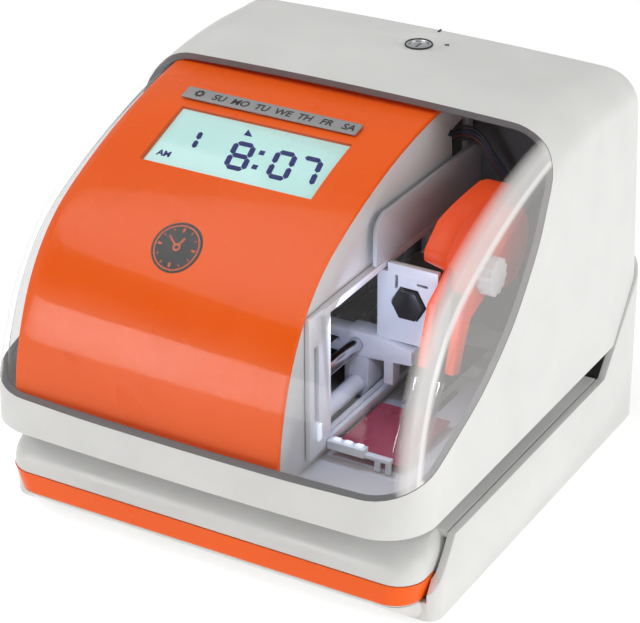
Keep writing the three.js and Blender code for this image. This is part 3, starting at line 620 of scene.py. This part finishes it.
def window_region(name, shrink, material):
    edge = with_normals(spline(WINDOW_EDGE))
    outline = [(LIP_Y - 20, LIP_TOP_Z + shrink), (LIP_Y + 0.4, LIP_TOP_Z + shrink)]
    outline += [(y + ny * shrink, z + nz * shrink) for y, z, ny, nz in edge]
    outline += [(WINDOW_TOP_Y - shrink, 160), (LIP_Y - 20, 160)]
    return prism(name, "x", outline, -100, 100, material)


def below_seam(offset):
    run, rise = REAR_Y - SEAM_FRONT_Y, SEAM_TOP_Z - TABLE_Z
    length = math.hypot(run, rise)
    shift = (-offset * rise / length, offset * run / length)
    ends = [(SEAM_FRONT_Y + run * t + shift[0], TABLE_Z + rise * t + shift[1]) for t in (-1, 1.6)]
    return prism("seam_tool", "x", ends + [(REAR_Y + 60, 0), (REAR_Y, -40)], -110, 110, WHITE)


DISH_PROFILE = (
    (0, 137.7), (5.0, 137.7), (5.4, 137.72), (7.6, 138.3), (9.2, 139.05), (9.6, 140), (9.6, 144), (0, 144),
)


def build_cover():
    shell = cover_solid("cover_casing", 0, THROAT_TOP_Z, WHITE)
    cut(shell, cover_solid("cover_hollow", COVER_WALL, 20, WHITE))
    # The cut faces round the window gap take the painted seam shade.
    cut(shell, window_region("window_gap", 0, SEAM_SHADE), below_seam(GAP))
    for side in (-1, 1):
        for low, high in ((34, 40), (50.6, 56)):
            span = sorted((side * low, side * high))
            join(shell, rod("knuckle", "x", HINGE_Y, HINGE_Z, KNUCKLE_RADIUS, *span, WHITE, 40))
        gap = sorted((side * 40, side * 50.6))
        cut(shell, rod("knuckle_gap", "x", HINGE_Y, HINGE_Z, KNUCKLE_RADIUS + 0.4, *gap, WHITE, 40))
        bore = sorted((side * 30, side * 60))
        cut(shell, rod("pin_bore", "x", HINGE_Y, HINGE_Z, 1.58, *bore, WHITE, 32))
    dish = lathe("lock_dish", LOCK, DISH_PROFILE, WHITE)
    cut(shell, dish, rod("lock_bore", "z", *LOCK, 4.95, 130, 145, WHITE, 48))
    settle(shell, "cover", "white_plastic", "cover_shell")


def build_window():
    pane = cover_solid("clear_window", 0, THROAT_TOP_Z, CLEAR)
    cut(pane, cover_solid("window_hollow", WINDOW_WALL, 20, CLEAR))
    combine(pane, window_region("window_cut", GAP, RIM), "INTERSECT")
    settle(pane, "cover", "clear_plastic", "window_pane")


# ---- base -----------------------------------------------------------------------------------
def rounded_ring(half, y0, y1, front, z, steps=10):
    corners = [(half - front, y0 + front, front, -1), (half - 1, y1 - 1, 1, 0), (1 - half, y1 - 1, 1, 1),
               (front - half, y0 + front, front, 2)]
    return [
        (x + r * math.cos((q + i / steps) * math.pi / 2), y + r * math.sin((q + i / steps) * math.pi / 2), z)
        for x, y, r, q in corners
        for i in range(steps + 1)
    ]


NOSE_PROFILE = (
    (7.3, -8, 77.4), (16.7, -9.3, NOSE_HALF), (20.5, -8.6, NOSE_HALF), (23.6, -6.9, NOSE_HALF - 0.6),
    (25.8, -4.2, NOSE_HALF - 1.8), (27, -0.8, NOSE_HALF - 3), (TABLE_Z, 2, NOSE_HALF - 3.6),
)


def nose_solid(name, shrink, top, material):
    levels = [NOSE_PROFILE[0]] + spline(NOSE_PROFILE[1:], 3)
    corner = NOSE_CORNER - shrink
    rows = [rounded_ring(h - shrink, y + shrink, NOSE_REAR, corner, z) for z, y, h in levels if z < top]
    _, y, h = levels[-1]
    rows.append(rounded_ring(h - shrink, y + shrink, NOSE_REAR, corner, top))
    if shrink > 0:
        rows.insert(0, [(x, py, 0) for x, py, _ in rows[0]])
    return skin(name, rows, material)


TABLE_UNDERSIDE_Z = 24.7
BED_HALF = 80.1


def build_base():
    nose = nose_solid("paper_bed", 0, TABLE_Z, WHITE)
    cut(nose, nose_solid("nose_hollow", 2.2, TABLE_UNDERSIDE_Z, WHITE))
    join(nose, block("bed_plate", -BED_HALF, BED_HALF, 13.5, 128, TABLE_UNDERSIDE_Z, TABLE_Z, WHITE))
    low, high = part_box("platen")
    x0, x1 = low.x / MM - GAP, high.x / MM + GAP
    y0, y1 = (low.y - FRONT_LINE) / MM - GAP, (high.y - FRONT_LINE) / MM + GAP
    cut(nose, block("platen_hole", x0, x1, y0, y1, 20, 30, WHITE))
    groove = nose_solid("band_groove", -0.6, TABLE_Z, BLACK)
    cut(groove, nose_solid("groove_core", 1.5, TABLE_Z, BLACK))
    combine(groove, block("groove_slab", -90, 90, -20, 6.2, 7.75, 16.35, BLACK), "INTERSECT")
    cut(nose, groove)
    settle(nose, "chassis", "white_plastic", "paper_table")
    band = nose_solid("orange_band", -0.35, TABLE_Z, ORANGE)
    cut(band, nose_solid("band_core", 1.3, TABLE_Z, ORANGE))
    combine(band, block("band_slab", -90, 90, -20, 6, 7.9, 16.2, ORANGE), "INTERSECT")
    settle(band, "chassis", "orange_plastic", "trim_band")


# ---- display --------------------------------------------------------------------------------
class Panel:
    """A flat spot on the sloping fascia: u across, v up the slope, w out of it."""

    def __init__(self, x, y, z, tilt):
        self.centre, self.tilt = (x, y, z), tilt

    def point(self, u, v, w=0.0):
        x, y, z = self.centre
        c, s = math.cos(self.tilt), math.sin(self.tilt)
        return (x + u, y + v * c - w * s, z + v * s + w * c)

    def plate(self, name, outline, low, high, material):
        count = len(outline)
        verts = [self.point(u, v, w) for w in (low, high) for u, v in outline]
        faces = [tuple(range(count)), tuple(range(2 * count - 1, count - 1, -1))]
        faces += [(i, (i + 1) % count, count + (i + 1) % count, count + i) for i in range(count)]
        return make_object(name, verts, faces, material)


LCD = Panel(-17.1, 51.1, 124.9, math.atan2(9.2, 26))
DAYS = Panel(-18.9, 71.2, 131.3, math.atan2(1.45, 5.9))
EMBLEM = Panel(-19.1, 11.6, 105.6, 0.72)
SLANT = -0.165

SEGMENT_LINES = {
    "a": ((0, 1), (1, 1)), "b": ((1, 1), (1, 0.5)), "c": ((1, 0.5), (1, 0)), "d": ((0, 0), (1, 0)),
    "e": ((0, 0.5), (0, 0)), "f": ((0, 1), (0, 0.5)), "g": ((0, 0.5), (1, 0.5)),
}
DIGITS = {"0": "abcdef", "1": "bc", "7": "abc", "8": "abcdefg"}


def digit(text, u, v, width, height, stroke, level):
    """The lit segments of one seven-segment figure, leaning to the right."""
    parts = []
    for key in DIGITS[text]:
        (a0, b0), (a1, b1) = SEGMENT_LINES[key]
        x0, y0, x1, y1 = a0 * width, b0 * height, a1 * width, b1 * height
        length = math.hypot(x1 - x0, y1 - y0)
        dx, dy = (x1 - x0) / length, (y1 - y0) / length
        nx, ny = -dy * stroke / 2, dx * stroke / 2
        inner, tip = stroke * 0.55, stroke * 0.12
        outline = [
            (x0 + dx * tip, y0 + dy * tip), (x0 + dx * inner + nx, y0 + dy * inner + ny),
            (x1 - dx * inner + nx, y1 - dy * inner + ny), (x1 - dx * tip, y1 - dy * tip),
            (x1 - dx * inner - nx, y1 - dy * inner - ny), (x0 + dx * inner - nx, y0 + dy * inner - ny),
        ]
        leaned = [(u + x + y * SLANT, v + y) for x, y in outline]
        parts.append(LCD.plate("segment", leaned, level, level + 0.12, NAVY))
    return parts


def lettering(name, text, panel, u, v, height, level, material, lean=0.0, bold=0.0):
    """Plain built-in letters laid flat on a panel; size_per_height is the font's own proportion."""
    size_per_height = 1.38
    curve = bpy.data.curves.new(name, "FONT")
    curve.body = text
    curve.align_x = "CENTER"
    curve.align_y = "CENTER"
    curve.size = height * size_per_height
    curve.shear = lean
    curve.offset = bold
    curve.extrude = 0.03
    curve.resolution_u = 3
    holder = bpy.data.objects.new(name + "_text", curve)
    bpy.context.scene.collection.objects.link(holder)
    graph = bpy.context.evaluated_depsgraph_get()
    mesh = bpy.data.meshes.new_from_object(holder.evaluated_get(graph))
    bpy.data.objects.remove(holder)
    for vertex in mesh.vertices:
        vertex.co = at(*panel.point(u + vertex.co.x, v + vertex.co.y, level + vertex.co.z))
    mesh.materials.clear()
    mesh.materials.append(material)
    obj = bpy.data.objects.new(name, mesh)
    bpy.context.scene.collection.objects.link(obj)
    return obj


def build_fascia():
    last = (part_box("fascia")[1].y - FRONT_LINE) / MM
    outer, inner = (
        [(LIP_Y + depth, FASCIA_FLOOR_Z)] + crown_inset(depth, 64, last)
        for depth in (FASCIA_DEPTH, FASCIA_DEPTH + FASCIA_WALL)
    )
    panel = prism("display_panel", "x", outer + inner[::-1], *FASCIA_X, ORANGE, 0.55, 3)
    window = [(-33.1, -14.2), (33.1, -14.2), (33.1, 14.2), (-33.1, 14.2)]
    cut(panel, LCD.plate("lcd_hole", window, -9, 9, ORANGE))
    slot = [(-34.15, -3.15), (34.15, -3.15), (34.15, 3.15), (-34.15, 3.15)]
    cut(panel, DAYS.plate("day_slot", slot, -0.8, 5, ORANGE))
    combine(panel, cover_solid("fascia_limit", WINDOW_WALL + 0.4, 20, ORANGE), "INTERSECT")
    settle(panel, "chassis", "orange_plastic", "fascia")


def build_display():
    level = -1.66
    figures = digit("1", -18.8, -3.2, 0.01, 8.4, 1.8, level)
    figures += digit("8", -3.5, -7.5, 6.6, 11.5, 2.0, level)
    figures += digit("0", 12.6, -7.3, 6.4, 11.5, 2.0, level)
    figures += digit("7", 22.2, -7.1, 6.6, 11.4, 2.0, level)
    for u, v in ((6.5, -5.0), (5.4, 1.9)):
        dot = [(u - 1, v - 1), (u + 1, v - 1), (u + 0.8, v + 1), (u - 1.2, v + 1)]
        figures.append(LCD.plate("colon", dot, level, level + 0.1, NAVY))
    figures.append(LCD.plate("pointer", [(-5.2, 8.0), (-1.9, 8.0), (-5.0, 10.9)], level, level + 0.1, NAVY))
    settle(merge("lcd_figures", figures), "chassis", "black_plastic")
    word = lettering("lcd_half_day", "AM", LCD, -27.0, -8.5, 2.6, level + 0.05, NAVY, -0.1, 0.12)
    settle(word, "chassis", "black_plastic")
    spacing = 8.42
    for i, text in enumerate(("SU", "MO", "TU", "WE", "TH", "FR", "SA")):
        word = lettering(
            f"day_{text.lower()}", text, DAYS, (i - 3) * spacing + 4.95, -0.3, 3.1, 0.26, PRINT, 0.12, 0.1
        )
        settle(word, "chassis", "grey_strip")
    teeth = []
    for i in range(16):
        radius = 2.0 if i % 2 else 1.45
        for offset in (-0.1, 0.1):
            a = (i + 0.5) * math.pi / 8 + offset
            teeth.append((-28.2 + radius * math.cos(a), radius * math.sin(a)))
    gear = DAYS.plate("setting_sign", teeth, 0.26, 0.32, PRINT)
    cut(gear, DAYS.plate("sign_hole", circle(-28.2, 0, 0.8, 24), 0, 1, PRINT))
    settle(gear, "chassis", "grey_strip")


class Wrapped:
    """A spot that follows the curve of the fascia: u across, v along the slope, w out of it."""

    def __init__(self, x, y, depth):
        self.x = x
        self.run = with_normals(crown_inset(depth, 240))
        self.lengths = run_lengths(self.run)
        nearest = min(range(len(self.run)), key=lambda i: abs(self.run[i][0] - y))
        self.start = self.lengths[nearest]

    def point(self, u, v, w=0.0):
        reach = self.start + v
        i = next(k for k in range(1, len(self.lengths)) if self.lengths[k] >= reach)
        share = (reach - self.lengths[i - 1]) / (self.lengths[i] - self.lengths[i - 1])
        y, z, ny, nz = (a + (b - a) * share for a, b in zip(self.run[i - 1], self.run[i]))
        return (self.x + u, y + ny * w, z + nz * w)

    def band(self, name, first, second, low, high, material, closed=False):
        """A strip between two lines of (u, v) points, as thick as low to high."""
        count = len(first)
        verts = [self.point(u, v, w) for w in (low, high) for line in (first, second) for u, v in line]
        faces = []
        for i in range(count if closed else count - 1):
            k = (i + 1) % count
            a, b, c, d = i, k, count + k, count + i
            lift = 2 * count
            faces += [(a, b, c, d), (a + lift, b + lift, c + lift, d + lift)]
            faces += [(a, b, b + lift, a + lift), (d, c, c + lift, d + lift)]
        if not closed:
            for i in (0, count - 1):
                faces.append((i, count + i, 3 * count + i, 2 * count + i))
        return make_object(name, verts, faces, material)


def build_emblem():
    """A plain clock dial in orange lines on the dark disc."""
    dial = Wrapped(*EMBLEM.centre[:2], FASCIA_DEPTH - 0.15)
    low, high = 0.0, 0.12

    def ring(*radii):
        lines = [circle(0, 0, radius, 64) for radius in radii]
        return dial.band("ring", *lines, low, high, EMBLEM_INK, True)

    def stroke(angle, near, far, half):
        c, s = math.cos(angle), math.sin(angle)
        steps = [near + (far - near) * i / 4 for i in range(5)]
        sides = [[(c * t - s * side, s * t + c * side) for t in steps] for side in (half, -half)]
        return dial.band("stroke", *sides, low, high, EMBLEM_INK)

    parts = [ring(8.2, 7.7), ring(1.4, 0.7)]
    for i in range(12):
        near, half = (5.6, 0.4) if i % 3 == 0 else (6.3, 0.22)
        parts.append(stroke(i * math.pi / 6, near, 7.1, half))
    parts += [stroke(1.15, 1.2, 4.0, 0.35), stroke(2.45, 1.2, 5.3, 0.3)]  # the two hands
    settle(merge("dial_sign", parts), "chassis", "orange_plastic")


# ---- lock -----------------------------------------------------------------------------------
COLLAR_PROFILE = (
    (0, 136.2), (5.0, 136.2), (5.0, 138.0), (4.8, 138.3), (4.7, 138.0), (4.7, 136.8), (0, 136.8),
)


def build_lock():
    """The collar round the lock, and a plain tick and ring as its two marks."""
    ring = lathe("lock_collar", LOCK, COLLAR_PROFILE, BLACK)
    cut(ring, rod("collar_bore", "z", *LOCK, 4.66, 130, 145, BLACK, 64))
    settle(ring, "cover", "black_plastic")
    x, y = LOCK
    marks = [block("mark_tick", x + 0.6, x + 1.0, y + 13, y + 15.4, 138.0, 138.55, PRINT)]
    rim = rod("mark_ring", "z", x + 9.8, y + 2.4, 0.85, 138.2, 138.72, PRINT, 32)
    marks.append(cut(rim, rod("mark_hole", "z", x + 9.8, y + 2.4, 0.45, 138, 140, PRINT, 32)))
    settle(merge("lock_marks", marks), "cover", "black_plastic")


# ---- mechanism ------------------------------------------------------------------------------
def build_lamps():
    for i in range(3):
        x = 36.5 + i * 4.2
        lamp = block(f"lamp_{i + 1}", x, x + 2.6, 15.4, 17.4, 47.05, 47.9, LAMP, 0.3)
        settle(lamp, "chassis", "display_glass")
    strip = block("post_lamp", 34.9, 35.6, 8.4, 10.6, 50, 56, LAMP, 0.2)
    settle(strip, "chassis", "display_glass")


BOARD_TOP_Z = 47.75
CHIPS = (  # x, y, width, depth and height of each
    (-50, 30, 14, 14, 2.2), (-30, 52, 9, 18, 1.8), (-10, 28, 8, 6, 3), (-58, 66, 12, 8, 6),
    (-24, 74, 16, 6, 5),
)
CAPACITORS = ((-40, 74, 3.2, 8), (-4, 60, 2.5, 6), (-4, 52, 2.5, 6))  # x, y, radius and height of each


def build_details():
    """Parts on the main board, its wires and the front ledge of the deck."""
    top = BOARD_TOP_Z
    parts = []
    for x, y, across, deep, tall in CHIPS:
        parts.append(block("chip", x, x + across, y, y + deep, top, top + tall, BLACK, 0.3))
    for x, y, radius, tall in CAPACITORS:
        parts.append(rod("capacitor", "z", x, y, radius, top, top + tall, ZINC, 32, 0.3))
    settle(merge("board_parts", parts), "chassis", "black_plastic")
    strands = []
    for i, material in enumerate((BLACK, RED_WIRE, BLUE_WIRE, BLACK)):
        shift = i * 1.5
        path = [
            (-8, 80, 49), (12, 96, 60 + shift), (24, 113, 100), (29, 112, 114 + shift),
            (36, 113, 116 + shift), (44, 114, 108 + shift), (52, 117, 92 + shift), (54, 119, 60),
        ]
        strands.append(wire(f"strand_{i}", path, 0.6, material))
    settle(merge("wiring", strands), "chassis", "black_plastic")
    ledge = block("deck_ledge", -66, 74, -11.5, 13, 39.75, 40.15, FRAME, 0.15)
    settle(ledge, "chassis", "frame_plastic")


def dress(names, material):
    for name in names.split():
        mesh = nodes[name].data
        mesh.materials.clear()
        mesh.materials.append(material)


def soften_cad(name, width=0.3):
    """Welds a CAD node's facets, rounds its sharp edges and smooths its curves; no vertex moves."""
    obj = nodes[name]
    for polygon in obj.data.polygons:
        polygon.use_smooth = True
    weld = obj.modifiers.new("weld", "WELD")
    weld.merge_threshold = 2e-6
    bevel = obj.modifiers.new("bevel", "BEVEL")
    bevel.width = width * MM
    bevel.segments = 2
    bevel.limit_method = "ANGLE"
    bevel.angle_limit = math.radians(40)
    bevel.harden_normals = True


def dress_cad():
    dress("base_shell", WHITE)
    dress("throat_block deck_plate side_frame_right side_frame_left", FRAME)
    dress("print_window_frame shaft_block button_panel lever_bracket", LINER)
    dress("carriage lamp_bar guide_shaft_lower", LINER)
    dress("drive_pulley idler_pulley ribbon_knob", FRAME)
    dress("ribbon_cassette", CASSETTE)
    dress("lcd_lens", LENS)
    dress("ribbon_guide_left ribbon_guide_right", GUIDE)
    dress("lcd_module", AQUA)
    dress("smoked_plate", SMOKE)
    dress("ribbon_mask", RED_FILM)
    dress("day_strip", STRIP)
    dress("emblem_disc setting_button_1 setting_button_2 setting_button_3", BLACK)
    dress("print_head paper_lever power_inlet", BLACK)
    dress("ink_ribbon", CLOTH)
    dress("foot_front_left foot_front_right foot_rear_left foot_rear_right timing_belt platen", RUBBER)
    dress("guide_shaft_upper hinge_pin_left hinge_pin_right", STEEL)
    dress("lock_barrel lock_plug lock_nut backup_battery", STEEL)
    dress("base_screw_front_left base_screw_front_right base_screw_rear_left base_screw_rear_right", STEEL)
    dress("rear_frame", SHADE)
    dress("idler_bracket stepper_motor power_supply", ZINC)
    dress("head_heat_sink", FINS)
    dress("main_board display_board", BOARD)
    for name in nodes:
        if name not in ("lcd_lens", "ink_ribbon", "timing_belt", "emblem_disc"):
            soften_cad(name)


# ---- studio ---------------------------------------------------------------------------------
def aim(obj, target):
    obj.rotation_mode = "QUATERNION"
    obj.rotation_quaternion = (target - obj.location).to_track_quat("-Z", "Y")


def softbox(name, place, target, size, power, reflection_only=False, colour=(1, 1, 1)):
    light = bpy.data.lights.new(name, "AREA")
    light.shape = "RECTANGLE"
    light.size, light.size_y = size
    light.energy = power
    light.color = colour
    obj = bpy.data.objects.new(name, light)
    obj.location = place
    obj.visible_diffuse = not reflection_only
    bpy.context.scene.collection.objects.link(obj)
    aim(obj, Vector(target))


def sheet(name, corners, material):
    """A flat four-cornered piece of the studio, with corners in metres."""
    mesh = bpy.data.meshes.new(name)
    mesh.from_pydata(corners, [], [(0, 1, 2, 3)])
    mesh.materials.append(material)
    obj = bpy.data.objects.new(name, mesh)
    bpy.context.scene.collection.objects.link(obj)
    return obj


def build_studio():
    paper = surface(
        "studio_floor", (0.86, 0.86, 0.86), 0.6, variation=0.0, edge_radius=0.01, grain_depth=0.001,
        emission=((1, 1, 1), 0.42),
    )
    reach = 4
    sheet("floor", [(-reach, -reach, 0), (reach, -reach, 0), (reach, reach, 0), (-reach, reach, 0)], paper)
    velvet = surface("flag_black", (0.02, 0.02, 0.02), 0.9, variation=0.0, edge_radius=0.01)
    low, high = 0.05, 1.2
    ends = ((-1.5, -1.0), (0.0, -1.5))
    flag = sheet("flag", [(*ends[0], low), (*ends[1], low), (*ends[1], high), (*ends[0], high)], velvet)
    flag.visible_camera = False
    world = bpy.data.worlds.new("studio")
    bpy.context.scene.world = world
    world.use_nodes = True
    background = world.node_tree.nodes["Background"]
    background.inputs["Color"].default_value = (1, 1, 1, 1)
    background.inputs["Strength"].default_value = 0.50
    middle = (0, 0, 0.07)
    softbox("key_light", (-0.45, -0.35, 1.0), middle, (0.9, 0.9), 5.2)
    softbox("side_light", (1.1, -0.1, 0.35), middle, (0.7, 0.7), 4.0)
    softbox("band_light", (-0.55, -1.05, 0.20), (0, -0.05, 0.06), (0.9, 0.3), 6.0, True)
    softbox("print_light", at(44, 20, 92), at(42, 50, 60), (0.016, 0.006), 0.011, colour=(0.62, 0.72, 1.0))
    bpy.context.scene.view_settings.view_transform = "Standard"


def build_camera():
    azimuth, elevation, roll = math.radians(30.065), math.radians(27.664), math.radians(-0.285)
    distance = 0.8546
    level = math.cos(elevation)
    back = Vector((math.sin(azimuth) * level, -math.cos(azimuth) * level, math.sin(elevation)))
    target = Vector((0, -0.00246, 0.06175))
    camera = bpy.data.cameras.new("view")
    camera.sensor_width = 36
    camera.lens = 138.7
    obj = bpy.data.objects.new("view", camera)
    obj.location = target + back * distance
    obj.rotation_mode = "QUATERNION"
    turn = (-back).to_track_quat("-Z", "Y")
    obj.rotation_quaternion = turn @ Matrix.Rotation(roll, 3, "Z").to_quaternion()
    bpy.context.scene.collection.objects.link(obj)
    bpy.context.scene.camera = obj


build_camera()
build_studio()
dress_cad()
build_cover()
build_window()
build_base()
build_fascia()
build_display()
build_emblem()
build_lock()
build_lamps()
build_details()
